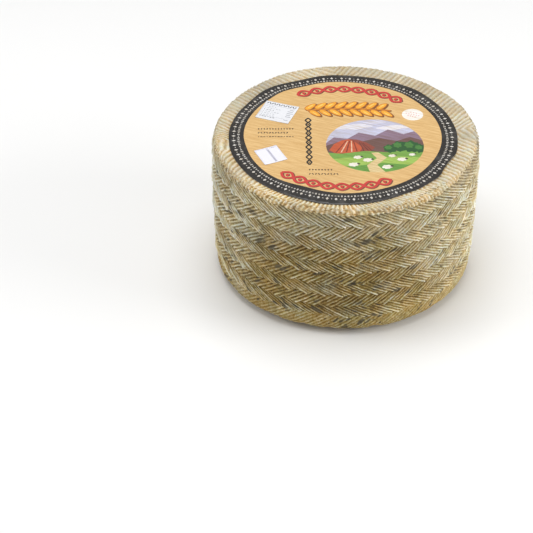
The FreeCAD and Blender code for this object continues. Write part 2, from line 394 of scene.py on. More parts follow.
def build_top():
    columns = 1500
    i = np.arange(columns)
    base_angle = 2 * math.pi * i / columns
    turns = base_angle / (2 * math.pi)
    corner = HEIGHT - DROP
    edge_r = float(side_radius(np.array(corner)))
    flat_r = list(np.arange(74.0, edge_r - RUN - 0.2, 0.5))
    arc = list(np.linspace(0, 1.53, 16))
    front = frontal(base_angle)
    wrapped = np.mod(base_angle + math.pi, 2 * math.pi) - math.pi
    paper_shadow_side = 0.35 + 0.65 * step(np.cos(base_angle + 2.0), -0.2, 0.5)       # painted shadow of the paper's edge, strongest on the front left
    seam_q = seam_place(turns)
    rows_a, rows_z, rows_r, crests, reliefs, seams = [], [], [], [], [], []
    for n in range(len(flat_r) + len(arc)):
        if n < len(flat_r):
            r, q = flat_r[n], 0.0
            rr = np.full(columns, r)
            zz = np.full(columns, 107.05 + 0.95 * float(step(np.array(r), 80.5, 87.0)))
            nr, nz = 0.0, 1.0
        else:
            q = arc[n - len(flat_r)]
            rr = np.full(columns, edge_r - RUN + RUN * math.sin(q))
            zz = np.full(columns, corner + DROP * math.cos(q) - 0.20)
            nr, nz = math.sin(q), math.cos(q)
        x, y = rr * np.cos(base_angle), rr * np.sin(base_angle)
        past = np.hypot(x - LABEL_X, y - LABEL_Y) - LABEL_R - paper_reach(x, y)
        run = float(rr[0]) + 4.8 * q - 2.4 * q * q / 2     # way from the axis over the shoulder
        s = (rr + (HEIGHT - zz)) / 110
        # the board's print, carried on over the shoulder along the same lines
        far = run / rr
        board, number = board_ridges(x * far, y * far, seed=20)
        # crumbs of curd: short flakes in loose order, widest on the shown side,
        # where they are finer than the board's ridges and break up at the seam
        start = 82.0 * front + (edge_r - RUN + 4.3 * seam_q - 1.6) * (1 - front)
        crumbly = step(run + 1.3 * noise(turns, s, 90, 24, 64) + 0.7 * noise(turns, s, 300, 60, 65), start - 0.6, start + 1.6)
        ragged = 0.35 + 0.65 * step(run + 1.0 * noise(turns, s, 60, 20, 34), 87.0, 92.5)
        slip = sum(by * np.exp(-((np.degrees(wrapped) - at) / wide) ** 2) for at, wide, by in ((-74, 17, -0.72), (-48, 14, -0.22), (-122, 20, 0.40)))
        along = turns * 190 + ((run - 88.5) * slip + 0.7 * noise(turns, s, 56, 14, 35)
                                + ragged * (0.30 * noise(turns, s, 200, 44, 29) + 0.10 * noise(turns, s, 420, 110, 33))) / 2.9
        leaf = np.floor(along).astype(int)
        flake = crest_profile(along - leaf) * (1 - ragged * 0.55 * step(noise(turns, s, 330, 120, 66), 0.45, -0.35))
        crest = board * (1 - crumbly) + flake * crumbly
        tall = (0.58 + 0.50 * pick(number * 7, 77)) * (1 - crumbly) + (0.90 + 0.40 * pick(leaf * 11, 78)) * crumbly
        tall = tall * (1 + 0.30 * plane_noise(x, y, 3.0, 21) + 0.2 * noise(turns, s, 380, 60, 30))
        worn = 0.5 + 0.5 * layered(turns, s, 30, 8, 455, 2)
        tall = tall * (0.50 + 0.50 * np.maximum(step(worn, 0.15, 0.7), 0.8 * crumbly))
        grain = 0.12 * noise(turns, s, 560, 110, 22) + 0.09 * noise(turns, s, 1100, 200, 23)
        lump = 0.20 * layered(turns, s, 70, 14, 24, 2) + 0.12 * noise(turns, s, 170, 40, 28)
        crumb = crumbly * ragged * (0.16 * noise(turns, s, 250, 80, 25) + 0.20 * noise(turns, s, 560, 160, 26))
        seam = step(q - seam_q, -0.34, -0.02)
        end = step(q - seam_q, -0.02, 0.16)
        pits = step(noise(turns, s, 280, 100, 67), 0.18, 0.62) * step(run, 87.0, 91.5) * front
        pits = np.maximum(pits, step(noise(turns, s, 310, 90, 68), 0.30, 0.75) * seam * (1 - front))
        h = -0.24 - (0.74 + 0.34 * crumbly) * tall * (1 - crest) + grain + lump + crumb - 0.10 * seam * (1 - front) - 0.60 * pits
        h = h + 0.50 * front * step(run, 88.5, 92.0)
        swell = out_of_round(base_angle, zz) * float(step(rr[0], 78, 88))
        r_out = rr + nr * h + swell - 2.0 * end
        z_out = zz + nz * h - 0.5 * end
        # near the paper the print is pressed flat, and it dips under the paper
        if n < len(flat_r):
            lid = label_top(x, y) - 0.10 + 0.45 * np.clip(past, 0, 9)
            bed = np.minimum(zz, lid)
            z_out = bed - 0.22 + (h + 0.22) * (0.40 + 0.60 * step(past, -0.5, 2.5))
            z_out = np.where(past < 0.5, np.minimum(z_out, label_top(x, y) - 0.30), z_out)
        rows_a.append(base_angle)
        rows_r.append(r_out)
        rows_z.append(z_out)
        gap_shade = (1 - crest) ** 0.7 * step(past, 3.8, 0.2) * paper_shadow_side        # painted shade in the grooves beside the paper's edge, with the rind's brown tint in the gaps
        # painted shade: the top's print is a little darker behind
        crests.append(np.clip(crest * (0.26 + 0.46 * tall + 0.56 * front * crumbly) + 0.16 + 0.02 * front * crumbly - 0.05 * step(np.sin(base_angle), 0.3, 0.9)
                              + 0.7 * grain + 0.40 * crumb - 0.60 * pits - 0.30 * gap_shade, 0, 1.25))
        reliefs.append(lump + crumb)
        seams.append(np.clip(0.40 * seam + crumbly * (0.18 * step(crumb, 0.12, -0.12) + 0.26 * (1 - crest)) + 0.8 * gap_shade + 0.7 * pits, 0, 1.2))
    a, r, z = np.array(rows_a), np.array(rows_r), np.array(rows_z)
    z[0] = 106.4
    a, r, z = a[::-1], r[::-1], z[::-1]
    crests, reliefs, seams = crests[::-1], reliefs[::-1], seams[::-1]
    rows = len(a)
    points = np.stack([(r * np.cos(a)).ravel(), (r * np.sin(a)).ravel(), z.ravel()], 1)
    faces = grid_faces(rows, columns)
    n = len(points)
    floor_z = float(z[0].mean()) + 0.2
    points = np.concatenate([points, [[0, 0, 106.4], [0, 0, floor_z]]])
    j = (i + 1) % columns
    top = (rows - 1) * columns
    fans = [(top + p, top + q, n) for p, q in zip(i.tolist(), j.tolist())]
    fans += [(q, p, n + 1) for p, q in zip(i.tolist(), j.tolist())]
    obj = make_mesh("rind_top", points, faces, fans)
    pad = np.zeros(2)
    add_value(obj, "crest", np.concatenate([np.array(crests).ravel(), pad]))
    add_value(obj, "relief", np.concatenate([np.array(reliefs).ravel(), pad]))
    add_value(obj, "seam", np.concatenate([np.array(seams).ravel(), pad]))
    return obj, np.concatenate([a.ravel(), pad]), points[:, 2]


def build_base():
    columns = 1128
    i = np.arange(columns)
    j = (i + 1) % columns
    base_angle = 2 * math.pi * i / columns
    turns = base_angle / (2 * math.pi)
    path = []
    for q in np.linspace(0, 1, 19):                # rounded lower edge
        w = q * math.pi / 2
        path.append((FOOT_R + (HEEL_R - FOOT_R) * math.sin(w) ** 0.86,
                     HEEL_Z * (1 - math.cos(w)), math.sin(w), -math.cos(w)))
    for zz in np.linspace(HEEL_Z, ROW_BOTTOM + 2.6, 13)[1:]:
        path.append((float(side_radius(np.array(zz))), zz, 1.0, 0.0))
    rng = np.random.RandomState(808)
    nicks = [(rng.rand() * 2 * math.pi, 2.5 + 3.0 * rng.rand(), 0.5 + 1.5 * rng.rand()) for _ in range(30)]
    nicks += [(math.radians(-90 + x), 4.0, 2.4) for x in (-37.0, -19.0, 12.5)]
    rows_r, rows_z, crests, reliefs = [], [], [], []
    for r0, z0, nr, nz in path:
        zz = np.full(columns, z0)
        s = np.full(columns, (r0 + z0) / 130)
        at = np.array(z0)
        # the plait's last leaves, faint, leaning left going down
        ridge_at = turns * RIDGES - (z0 - ROW_BOTTOM) * SLANT_LEFT / RADIUS / (2 * math.pi) * RIDGES
        number = np.floor(ridge_at).astype(int)
        crest = crest_profile(ridge_at - number)
        patch = 0.5 + 0.5 * noise(turns, s, 19, 3, 41)
        faint = (0.34 + 0.46 * step(patch, 0.2, 0.8)) * float(step(at, 0.8, 6.0))
        faint = faint * (0.7 + 0.6 * pick(number * 13, 47)) * (1 + 0.35 * noise(turns, s, 380, 60, 48))
        lump = 0.34 * layered(turns, s, 90, 16, 42, 3)
        grain = 0.13 * noise(turns, s, 520, 90, 43) + 0.08 * noise(turns, s, 1000, 180, 44)
        h = -0.62 + faint * crest + lump + grain - 1.0 * float(step(at, ROW_BOTTOM - 0.4, ROW_BOTTOM + 2.2))
        h = h * float(step(at, -0.3, 1.6))
        lift = np.zeros(columns)
        for place, wide, deep in nicks:
            d = (np.mod(base_angle - place + math.pi, 2 * math.pi) - math.pi) * RADIUS
            lift = np.maximum(lift, deep * np.exp(-(d / wide) ** 2))
        low = 1 - float(step(at, 1.0, 8.0))
        r_out = r0 + nr * h + out_of_round(base_angle, zz) * float(step(at, 0.0, 5.0))
        z_out = zz + nz * h * 0.5 + lift * low * float(step(np.array(r0), FOOT_R, FOOT_R + 3))
        rows_r.append(r_out)
        rows_z.append(np.maximum(z_out, 0.02))
        crests.append(np.clip(0.12 + crest * (0.16 + 0.62 * faint) + 1.1 * grain, 0, 1))
        reliefs.append(lump)
    r, z = np.array(rows_r), np.array(rows_z)
    a = np.tile(base_angle, (len(path), 1))
    ring = np.stack([(r * np.cos(a)).ravel(), (r * np.sin(a)).ravel(), z.ravel()], 1)
    faces = grid_faces(len(path), columns)
    top = (len(path) - 1) * columns

    # the underside: a net of points inside the foot, printed by the other board
    reach = FOOT_R - 0.7
    grid = np.arange(-FOOT_R, FOOT_R, 0.95)
    gx, gy = np.meshgrid(grid, grid * 0.87)
    gx = gx + 0.475 * (np.arange(len(grid))[:, None] % 2)
    keep = gx ** 2 + gy ** 2 < reach ** 2
    inside = np.stack([gx[keep], gy[keep]], 1)
    foot = np.stack([FOOT_R * np.cos(base_angle), FOOT_R * np.sin(base_angle)], 1)
    flat = np.concatenate([foot, inside])
    verts, _, tris, orig, _, _ = delaunay_2d_cdt(
        [Vector(p) for p in flat.tolist()], list(zip(i.tolist(), j.tolist())), [], 1, 1e-5)
    verts = np.array([(v.x, v.y) for v in verts])
    under, number = board_ridges(verts[:, 0], verts[:, 1], seed=50)
    tall = 0.62 + 0.55 * pick(number * 5, 51)
    lump = 0.5 + 0.5 * plane_noise(verts[:, 0], verts[:, 1], 11, 52)
    fine = 0.5 + 0.5 * plane_noise(verts[:, 0], verts[:, 1], 2.0, 53)
    rim = 1 - step(np.hypot(verts[:, 0], verts[:, 1]), FOOT_R - 3.0, FOOT_R)
    under_z = (0.85 * tall * (1 - under) + 0.22 * lump + 0.12 * fine) * rim + 0.02
    index, extra = {}, []
    for v, o in enumerate(orig):
        own = [p for p in o if p < columns]
        if own:
            index[v] = own[0]
        else:
            index[v] = len(ring) + len(extra)
            extra.append(v)
    points = np.concatenate([ring, np.stack([verts[extra, 0], verts[extra, 1], under_z[extra]], 1),
                             [[0, 0, float(z[-1].mean())]]])
    middle = len(points) - 1
    fans = [tuple(index[t] for t in reversed(f)) for f in tris]
    fans += [(top + p, top + q, middle) for p, q in zip(i.tolist(), j.tolist())]
    obj = make_mesh("rind_base", points, faces, fans)
    add_value(obj, "crest", np.concatenate([np.array(crests).ravel(), np.clip(under[extra] * (0.34 + 0.6 * tall[extra]), 0, 1), [0]]))
    add_value(obj, "relief", np.concatenate([np.array(reliefs).ravel(), 0.3 * (lump[extra] - 0.5), [0]]))
    return obj, np.arctan2(points[:, 1], points[:, 0]), points[:, 2]


# the larger dark blotches on the shown side: degrees round, height, size
BLOTCHES = ((-61, 51.4, 2.6), (-134, 88.0, 3.0), (-83, 81.0, 2.6), (-162, 93.0, 3.0), (-142, 80.2, 2.8),
            (-156, 70.5, 2.6), (-47, 87.7, 2.0), (-68, 35.6, 2.2), (-62, 30.6, 2.0), (-150, 74.0, 2.2),
            (-91, 99.3, 2.0), (-77, 41.0, 2.0), (-85, 28.3, 2.0), (-71, 71.4, 1.8))


def blotches(angle, z):
    turns = angle / (2 * math.pi)
    total = np.zeros_like(z)
    uneven = 0.55 * noise(turns, z / 110, 190, 60, 905)
    for at, height, size in BLOTCHES:
        dx = (np.mod(angle - math.radians(at) + math.pi, 2 * math.pi) - math.pi) * RADIUS
        q = (dx / (1.9 * size)) ** 2 + ((z - height) / (0.9 * size)) ** 2 + uneven
        total = np.maximum(total, 0.66 * np.exp(-1.2 * np.maximum(q, 0)) * (q < 4))
    return total


def colour_values(obj, angle, z):
    """What the rind's material reads besides the relief: mould, tones, and painted light and shade."""
    turns = angle / (2 * math.pi)
    v = z / 110
    dark = spots(angle, z, 800, 900, (1.0, 4.0), (0.5, 1.7))
    dark = dark * (1 - 0.45 * step(np.cos(angle + 0.55), 0.70, 0.95))
    speck = spots(angle, z, 1700, 901, (0.5, 1.6), (0.35, 0.8)) * 0.9
    patch = step(layered(turns, v, 22, 5, 910, 3), -0.25, 0.35)
    blue = step(layered(turns, v, 44, 11, 920, 3) + 0.25 * (v - 0.5), 0.0, 0.55)
    warm = step(layered(turns, v, 60, 14, 930, 3), 0.05, 0.7)
    tone = layered(turns, v, 16, 5, 940, 4)
    add_value(obj, "mould", np.clip(np.maximum(np.maximum(dark * (0.42 + 0.95 * patch), speck * (0.30 + 0.90 * patch)), blotches(angle, z)), 0, 1))
    add_value(obj, "blue", blue)
    add_value(obj, "warm", warm)
    # tone varies at random, and is raised below about 45 mm as painted light bounced up from below
    add_value(obj, "tone", tone + 0.55 * step(45 - z, 0, 35))
    # the wheel grows more ochre towards its foot, partly its own colour and partly painted warm light bounced from
    # below; painted shade deepens it further on the front and the left
    painted_side_shade = step(np.cos(angle + 1.67), 0.66, 0.96) - 0.5 + 0.30 * step(-np.cos(angle), 0.5, 0.95)
    add_value(obj, "low", np.clip(1.05 - z / 90 + 0.14 * layered(turns, v, 12, 6, 950, 3) + 0.80 * painted_side_shade * step(105 - z, 0, 40), 0, 1))
    # painted shade: behind and on the flanks the rim of the top is painted greyer and darker
    add_value(obj, "back_rim_shade", np.clip(step(z, 92, 104) * (1 - 0.75 * frontal(angle)) * (0.55 + 0.45 * step(np.sin(angle), -0.2, 0.9) + 0.35 * layered(turns, v, 24, 6, 960, 2)), 0, 1))


rind = []
for maker in (lambda: build_rows("rind_side_low", 0, 3), lambda: build_rows("rind_side_mid", 3, 6),
              lambda: build_rows("rind_side_high", 6, 9), build_top, build_base):
    obj, at_angle, at_z = maker()
    colour_values(obj, at_angle, at_z)
    rind.append(obj)


# ------------------------------------------------------------------- materials
def linear(r, g, b):
    def one(c):
        c = c / 255.0
        return c / 12.92 if c <= 0.04045 else ((c + 0.055) / 1.055) ** 2.4
    return (one(r), one(g), one(b), 1.0)


class Nodes:
    def __init__(self, name):
        self.material = bpy.data.materials.new(name)
        self.material.use_nodes = True
        self.tree = self.material.node_tree
        self.tree.nodes.clear()
        self.out = self.tree.nodes.new("ShaderNodeOutputMaterial")
        self.shader = self.tree.nodes.new("ShaderNodeBsdfPrincipled")
        self.tree.links.new(self.shader.outputs[0], self.out.inputs[0])

    def link(self, a, b):
        self.tree.links.new(a, b)

    def feed(self, socket, value):
        if isinstance(value, bpy.types.NodeSocket):
            self.link(value, socket)
        else:
            socket.default_value = value

    def value(self, name):
        n = self.tree.nodes.new("ShaderNodeAttribute")
        n.attribute_name = name
        return n.outputs["Fac"]

    def paint(self, name):
        n = self.tree.nodes.new("ShaderNodeAttribute")
        n.attribute_name = name
        return n.outputs["Color"]

    def place(self):
        return self.tree.nodes.new("ShaderNodeTexCoord").outputs["Object"]

    def noise(self, scale, detail=3.0, rough=0.5, stretch=None):
        n = self.tree.nodes.new("ShaderNodeTexNoise")
        n.inputs["Scale"].default_value = scale
        n.inputs["Detail"].default_value = detail
        n.inputs["Roughness"].default_value = rough
        where = self.place()
        if stretch:
            # turned first, then stretched along the turned axes
            turn = self.tree.nodes.new("ShaderNodeVectorRotate")
            turn.rotation_type = "Z_AXIS"
            turn.inputs["Angle"].default_value = stretch[1]
            self.link(where, turn.inputs["Vector"])
            m = self.tree.nodes.new("ShaderNodeVectorMath")
            m.operation = "MULTIPLY"
            m.inputs[1].default_value = stretch[0]
            self.link(turn.outputs[0], m.inputs[0])
            where = m.outputs[0]
        self.link(where, n.inputs["Vector"])
        return n.outputs["Fac"]

    def math(self, kind, a, b=0.0, clamp=False):
        n = self.tree.nodes.new("ShaderNodeMath")
        n.operation = kind
        n.use_clamp = clamp
        self.feed(n.inputs[0], a)
        self.feed(n.inputs[1], b)
        return n.outputs[0]

    def span(self, x, low, high, to_low=0.0, to_high=1.0):
        n = self.tree.nodes.new("ShaderNodeMapRange")
        n.interpolation_type = "SMOOTHSTEP"
        self.feed(n.inputs["Value"], x)
        n.inputs["From Min"].default_value = low
        n.inputs["From Max"].default_value = high
        n.inputs["To Min"].default_value = to_low
        n.inputs["To Max"].default_value = to_high
        return n.outputs[0]

    def mix(self, share, a, b, kind="MIX"):
        n = self.tree.nodes.new("ShaderNodeMix")
        n.data_type = "RGBA"
        n.blend_type = kind
        self.feed(n.inputs[0], share)
        self.feed(n.inputs[6], a)
        self.feed(n.inputs[7], b)
        return n.outputs[2]

    def grey(self, x):
        n = self.tree.nodes.new("ShaderNodeCombineColor")
        for k in range(3):
            self.feed(n.inputs[k], x)
        return n.outputs[0]

    def ramp(self, x, stops):
        n = self.tree.nodes.new("ShaderNodeValToRGB")
        e = n.color_ramp.elements
        while len(e) < len(stops):
            e.new(0.5)
        for k, (at, colour) in enumerate(stops):
            e[k].position = at
            e[k].color = colour
        self.feed(n.inputs[0], x)
        return n.outputs[0]

    def bump(self, height, distance, strength=1.0):
        n = self.tree.nodes.new("ShaderNodeBump")
        n.inputs["Distance"].default_value = distance
        n.inputs["Strength"].default_value = strength
        self.feed(n.inputs["Height"], height)
        return n.outputs[0]


SIDE_PALE = ((0.00, (98, 80, 44)), (0.24, (158, 138, 92)), (0.48, (193, 179, 143)), (0.76, (218, 213, 195)), (1.00, (238, 236, 226)))
TOP_PALE = ((0.00, (128, 102, 62)), (0.24, (180, 154, 110)), (0.48, (208, 190, 156)), (0.76, (226, 219, 202)), (1.00, (236, 234, 226)))
DEEP = ((0.00, (72, 54, 20)), (0.24, (125, 99, 42)), (0.48, (153, 131, 76)), (0.76, (184, 170, 130)), (1.00, (215, 207, 180)))


def rind_material(name, tones, bright=0.0, toast=0.0, gain=1.0):
    m = Nodes(name)
    fine = m.noise(1000.0, 4.0, 0.66)
    broken = m.noise(560.0, 2.0, 0.5)
    mid = m.noise(230.0, 4.0, 0.6)
    wide = m.noise(38.0, 4.0, 0.55)
    crest = m.math("ADD", m.value("crest"), m.math("MULTIPLY", m.math("SUBTRACT", fine, 0.5), 0.95))
    crest = m.math("ADD", crest, m.math("MULTIPLY", m.math("SUBTRACT", broken, 0.5), 0.50))
    crest = m.math("ADD", crest, m.math("MULTIPLY", m.math("SUBTRACT", mid, 0.5), 0.45))
    crest = m.math("ADD", crest, m.math("MULTIPLY", m.value("fibre"), 0.22))
    crest = m.math("ADD", m.math("MULTIPLY", crest, gain), bright)
    pale = m.ramp(crest, [(at, linear(*tone)) for at, tone in tones])
    deep = m.ramp(crest, [(at, linear(*tone)) for at, tone in DEEP])
    # the deep ramp takes over towards the foot, partly own colour and partly painted bounce light, and on the front and
    # left as painted shade
    low = m.math("ADD", m.span(m.value("low"), 0.08, 0.80), m.math("MULTIPLY", m.math("SUBTRACT", wide, 0.5), 0.9), clamp=True)
    colour = m.mix(low, pale, deep)
    # specks of golden and of greyish curd, finer than a ridge
    gold = m.span(m.noise(840.0, 3.0, 0.6), 0.36, 0.64)
    colour = m.mix(1.0, colour, m.mix(gold, (1.0, 1.0, 1.10, 1), (1.0, 0.975, 0.84, 1)), "MULTIPLY")
    gold = m.span(m.noise(330.0, 3.0, 0.6), 0.36, 0.64)
    colour = m.mix(1.0, colour, m.mix(gold, (0.98, 1.0, 1.08, 1), (1.0, 0.975, 0.86, 1)), "MULTIPLY")
    if not toast:
        hue = m.noise(95.0, 4.0, 0.62)
        colour = m.mix(1.0, colour, m.mix(m.span(hue, 0.38, 0.60), (0.94, 1.0, 1.0, 1), (1.03, 0.985, 0.90, 1)), "MULTIPLY")
    if toast:
        hue = m.noise(150.0, 3.0, 0.6)
        colour = m.mix(1.0, colour, m.mix(m.span(hue, 0.36, 0.62), (0.94, 1.0, 0.96, 1), (1.03, 0.97, 0.86, 1)), "MULTIPLY")
    warm = m.math("MULTIPLY", m.value("warm"), m.span(mid, 0.40, 0.72))
    warm = m.math("ADD", m.math("MULTIPLY", warm, 0.50), m.math("MULTIPLY", m.value("seam"), 0.60), clamp=True)
    colour = m.mix(warm, colour, m.mix(1.0, colour, linear(255, 229, 160), "MULTIPLY"))
    if toast:
        colour = m.mix(m.math("MULTIPLY", m.span(wide, 0.35, 0.65), toast), colour, m.mix(1.0, colour, linear(255, 226, 180), "MULTIPLY"))
    blue = m.math("MULTIPLY", m.value("blue"), m.span(fine, 0.38, 0.66))
    colour = m.mix(m.math("MULTIPLY", blue, 0.46), colour, linear(156, 160, 148))
    # painted shade: the rim of the top greyer and darker behind and on the flanks
    back_rim_shade = m.math("MULTIPLY", m.value("back_rim_shade"), m.span(broken, 0.30, 0.62, 0.35, 1.0))
    colour = m.mix(m.math("MULTIPLY", back_rim_shade, 0.52), colour, linear(164, 158, 146))
    colour = m.mix(1.0, colour, m.grey(m.span(m.value("tone"), -0.7, 0.7, 0.84, 1.12)), "MULTIPLY")
    mould = m.math("MULTIPLY", m.value("mould"), m.span(fine, 0.25, 0.62, 0.35, 1.0))
    mould = m.math("MULTIPLY", mould, m.span(m.value("crest"), 0.15, 0.95, 1.40, 0.50))
    mould = m.span(mould, 0.10, 0.47)
    dark = m.mix(m.span(mid, 0.35, 0.65), linear(52, 48, 38), linear(88, 82, 66))
    colour = m.mix(m.math("MULTIPLY", mould, 0.84), colour, dark)
    m.link(colour, m.shader.inputs["Base Color"])
    m.link(m.span(mid, 0.3, 0.7, 0.66, 0.86), m.shader.inputs["Roughness"])
    m.shader.inputs["Specular IOR Level"].default_value = 0.35
    height = m.math("ADD", m.math("MULTIPLY", fine, 0.6), m.math("MULTIPLY", mid, 0.9))
    m.link(m.bump(height, 0.00045, 0.8), m.shader.inputs["Normal"])
    return m.material


side_look = rind_material("rind_plait", SIDE_PALE)
top_look = rind_material("rind_top_print", TOP_PALE, bright=0.22, toast=0.12, gain=0.80)
base_look = rind_material("rind_foot", SIDE_PALE, bright=0.20, gain=0.9)
for obj in rind:
    look = top_look if obj.name == "rind_top" else base_look if obj.name == "rind_base" else side_look
    obj.data.materials.append(look)
    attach(obj, "root")
    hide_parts("cheese_wheel")


# ------------------------------------------------------------ the printed label
# The print is a flat drawing of filled outlines in the label's own millimetres.
# All outlines are cut into one flat net, each triangle takes the colour of the
# last outline that covers it, and the net is then laid over the wheel.
class Drawing:
    def __init__(self):
        self.shapes = []

    def fill(self, outline, colour, gloss=0.0):
        self.shapes.append((np.asarray(outline, float), colour, gloss))

    def disc(self, x, y, rx, ry, turn, colour, sides=20, gloss=0.0):
        t = np.linspace(0, 2 * math.pi, sides, endpoint=False)
        px, py = rx * np.cos(t), ry * np.sin(t)
        c, s = math.cos(turn), math.sin(turn)
        self.fill(np.stack([x + px * c - py * s, y + px * s + py * c], 1), colour, gloss)

    def box(self, x, y, wide, high, turn, colour, lean=0.0):
        c, s = math.cos(turn), math.sin(turn)
        pts = []
        for px, py in ((-.5, -.5), (.5, -.5), (.5, .5), (-.5, .5)):
            a, b = px * wide + py * high * lean, py * high
            pts.append((x + a * c - b * s, y + a * s + b * c))
        self.fill(pts, colour)

    def arc_box(self, radius, high, at, wide, colour):
        """A block on a circle: at and wide in radians."""
        n = max(2, int(abs(wide) * radius / 3) + 2)
        t = np.linspace(at - wide / 2, at + wide / 2, n)
        outer = [(math.cos(v) * (radius + high / 2), math.sin(v) * (radius + high / 2)) for v in t]
        inner = [(math.cos(v) * (radius - high / 2), math.sin(v) * (radius - high / 2)) for v in t[::-1]]
        self.fill(outer + inner, colour)

    def stroke(self, path, width, colour):
        """A line of this width through the points, as one outline."""
        p = np.asarray(path, float)
        d = np.gradient(p, axis=0)
        d /= np.maximum(np.hypot(d[:, 0], d[:, 1]), 1e-9)[:, None]
        w = np.broadcast_to(np.asarray(width, float), (len(p),))[:, None] / 2
        side = np.stack([-d[:, 1], d[:, 0]], 1) * w
        self.fill(np.concatenate([p + side, (p - side)[::-1]]), colour)


def inside(outline, x, y):
    hit = np.zeros(len(x), bool)
    x0, y0 = outline[:, 0], outline[:, 1]
    x1, y1 = np.roll(x0, -1), np.roll(y0, -1)
    for ax, ay, bx, by in zip(x0, y0, x1, y1):
        cross = (ay > y) != (by > y)
        if cross.any():
            at = (bx - ax) * (y - ay) / (by - ay if by != ay else 1e-12) + ax
            hit ^= cross & (x < at)
    return hit


def lay_drawing(name, drawing, rim, spacing, height_at, thick):
    """Cut the drawing into one net inside the rim, lay it at height_at(x, y)
    and close it below. Coordinates are the wheel's own."""
    rim = np.asarray(rim, float)
    pts, edges = [tuple(p) for p in rim], [(a, (a + 1) % len(rim)) for a in range(len(rim))]
    centre = rim.mean(0)
    for outline, _, _ in drawing.shapes:
        first = len(pts)
        pts += [tuple(p) for p in outline]
        edges += [(first + a, first + (a + 1) % len(outline)) for a in range(len(outline))]
    low, high = rim.min(0), rim.max(0)
    gx, gy = np.meshgrid(np.arange(low[0], high[0], spacing), np.arange(low[1], high[1], spacing * 0.87))
    gx = gx + spacing / 2 * (np.arange(gx.shape[0])[:, None] % 2)
    gx, gy = gx.ravel(), gy.ravel()
    shrunk = centre + (rim - centre) * (1 - spacing * 0.6 / np.hypot(*(rim - centre).T).mean())
    keep = inside(shrunk, gx, gy)
    pts += list(zip(gx[keep].tolist(), gy[keep].tolist()))
    verts, _, tris, _, _, _ = delaunay_2d_cdt([Vector(p) for p in pts], edges, [], 0, 1e-4)
    v = np.array([(p.x, p.y) for p in verts])
    t = np.array([f for f in tris if len(f) == 3], int)
    mid = v[t].mean(1)
    grown = centre + (rim - centre) * 1.0005
    a, b, c = v[t[:, 0]], v[t[:, 1]], v[t[:, 2]]
    area = (b[:, 0] - a[:, 0]) * (c[:, 1] - a[:, 1]) - (b[:, 1] - a[:, 1]) * (c[:, 0] - a[:, 0])
    keep = inside(grown, mid[:, 0], mid[:, 1]) & (np.abs(area) > 1e-7)
    t, mid, area = t[keep], mid[keep], area[keep]
    t = np.where((area < 0)[:, None], t[:, ::-1], t)
    colour = np.tile(np.array([0.8, 0.8, 0.8, 1.0]), (len(t), 1))
    gloss = np.zeros(len(t))
    for outline, shade, shine in drawing.shapes:
        lo, hi = outline.min(0), outline.max(0)
        near = np.nonzero((mid[:, 0] >= lo[0]) & (mid[:, 0] <= hi[0]) & (mid[:, 1] >= lo[1]) & (mid[:, 1] <= hi[1]))[0]
        if len(near):
            got = near[inside(outline, mid[near, 0], mid[near, 1])]
            colour[got] = shade
            gloss[got] = shine
    used = np.unique(t)
    back = np.full(len(v), -1)
    back[used] = np.arange(len(used))
    t = back[t]
    v = v[used]
    z = height_at(v[:, 0], v[:, 1])
    # the rim of the net: edges used once
    pairs = np.sort(np.concatenate([t[:, [0, 1]], t[:, [1, 2]], t[:, [2, 0]]]), 1)
    ways = np.concatenate([t[:, [0, 1]], t[:, [1, 2]], t[:, [2, 0]]])
    _, first, count = np.unique(pairs, axis=0, return_index=True, return_counts=True)
    border = ways[first[count == 1]]
    n = len(v)
    points = np.concatenate([np.stack([v[:, 0], v[:, 1], z], 1), np.stack([v[:, 0], v[:, 1], z - thick], 1)])
    walls = np.stack([border[:, 1], border[:, 0], border[:, 0] + n, border[:, 1] + n], 1)
    tris = np.concatenate([t, t[:, ::-1] + n])
    obj = make_mesh(name, points, walls, [tuple(f) for f in tris.tolist()])
    rim_shade = np.tile(np.array([0.30, 0.29, 0.27, 1.0]), (len(walls), 1))
    under_shade = np.tile(np.array([0.75, 0.72, 0.66, 1.0]), (len(t), 1))
    sizes = np.concatenate([np.full(len(walls), 4), np.full(2 * len(t), 3)])
    shades = np.repeat(np.concatenate([rim_shade, colour, under_shade]), sizes, axis=0)
    glosses = np.repeat(np.concatenate([np.zeros(len(walls)), gloss, np.zeros(len(t))]), sizes)
    layer = obj.data.attributes.new("print", "FLOAT_COLOR", "CORNER")
    layer.data.foreach_set("color", shades.astype(np.float32).ravel())
    shine = obj.data.attributes.new("shine", "FLOAT", "CORNER")
    shine.data.foreach_set("value", glosses.astype(np.float32))
    return obj


TAN = linear(224, 187, 128)
BLACK = linear(44, 42, 41)
INK = linear(52, 46, 38)
GREYED = linear(196, 194, 190)


def to_wheel(points, cx, cy, turn=0.0):
    p = np.asarray(points, float)
    c, s = math.cos(turn), math.sin(turn)
    return np.stack([cx + p[:, 0] * c - p[:, 1] * s, cy + p[:, 0] * s + p[:, 1] * c], 1)


def turned(points, x, y, turn):
    c, s = math.cos(turn), math.sin(turn)
    return [(x + px * c - py * s, y + px * s + py * c) for px, py in points]


def lozenge(art, x, y, turn, wide, high, colour):
    art.fill(turned([(wide, 0), (0, high), (-wide, 0), (0, -high)], x, y, turn), colour)


def border_on_arc(art, radius, size, start, stop, pitch, colour):
    """A border round a circle: lozenges with a dot between each two."""
    way = 1 if stop > start else -1
    count = int(abs(stop - start) * radius / pitch)
    for k in range(count):
        at = start + way * (k + 0.5) * pitch / radius
        if k % 2:
            art.disc(radius * math.cos(at), radius * math.sin(at), size * 0.26, size * 0.26, 0, colour, 8)
        else:
            lozenge(art, radius * math.cos(at), radius * math.sin(at), at, size * 0.92, size * 0.62, colour)


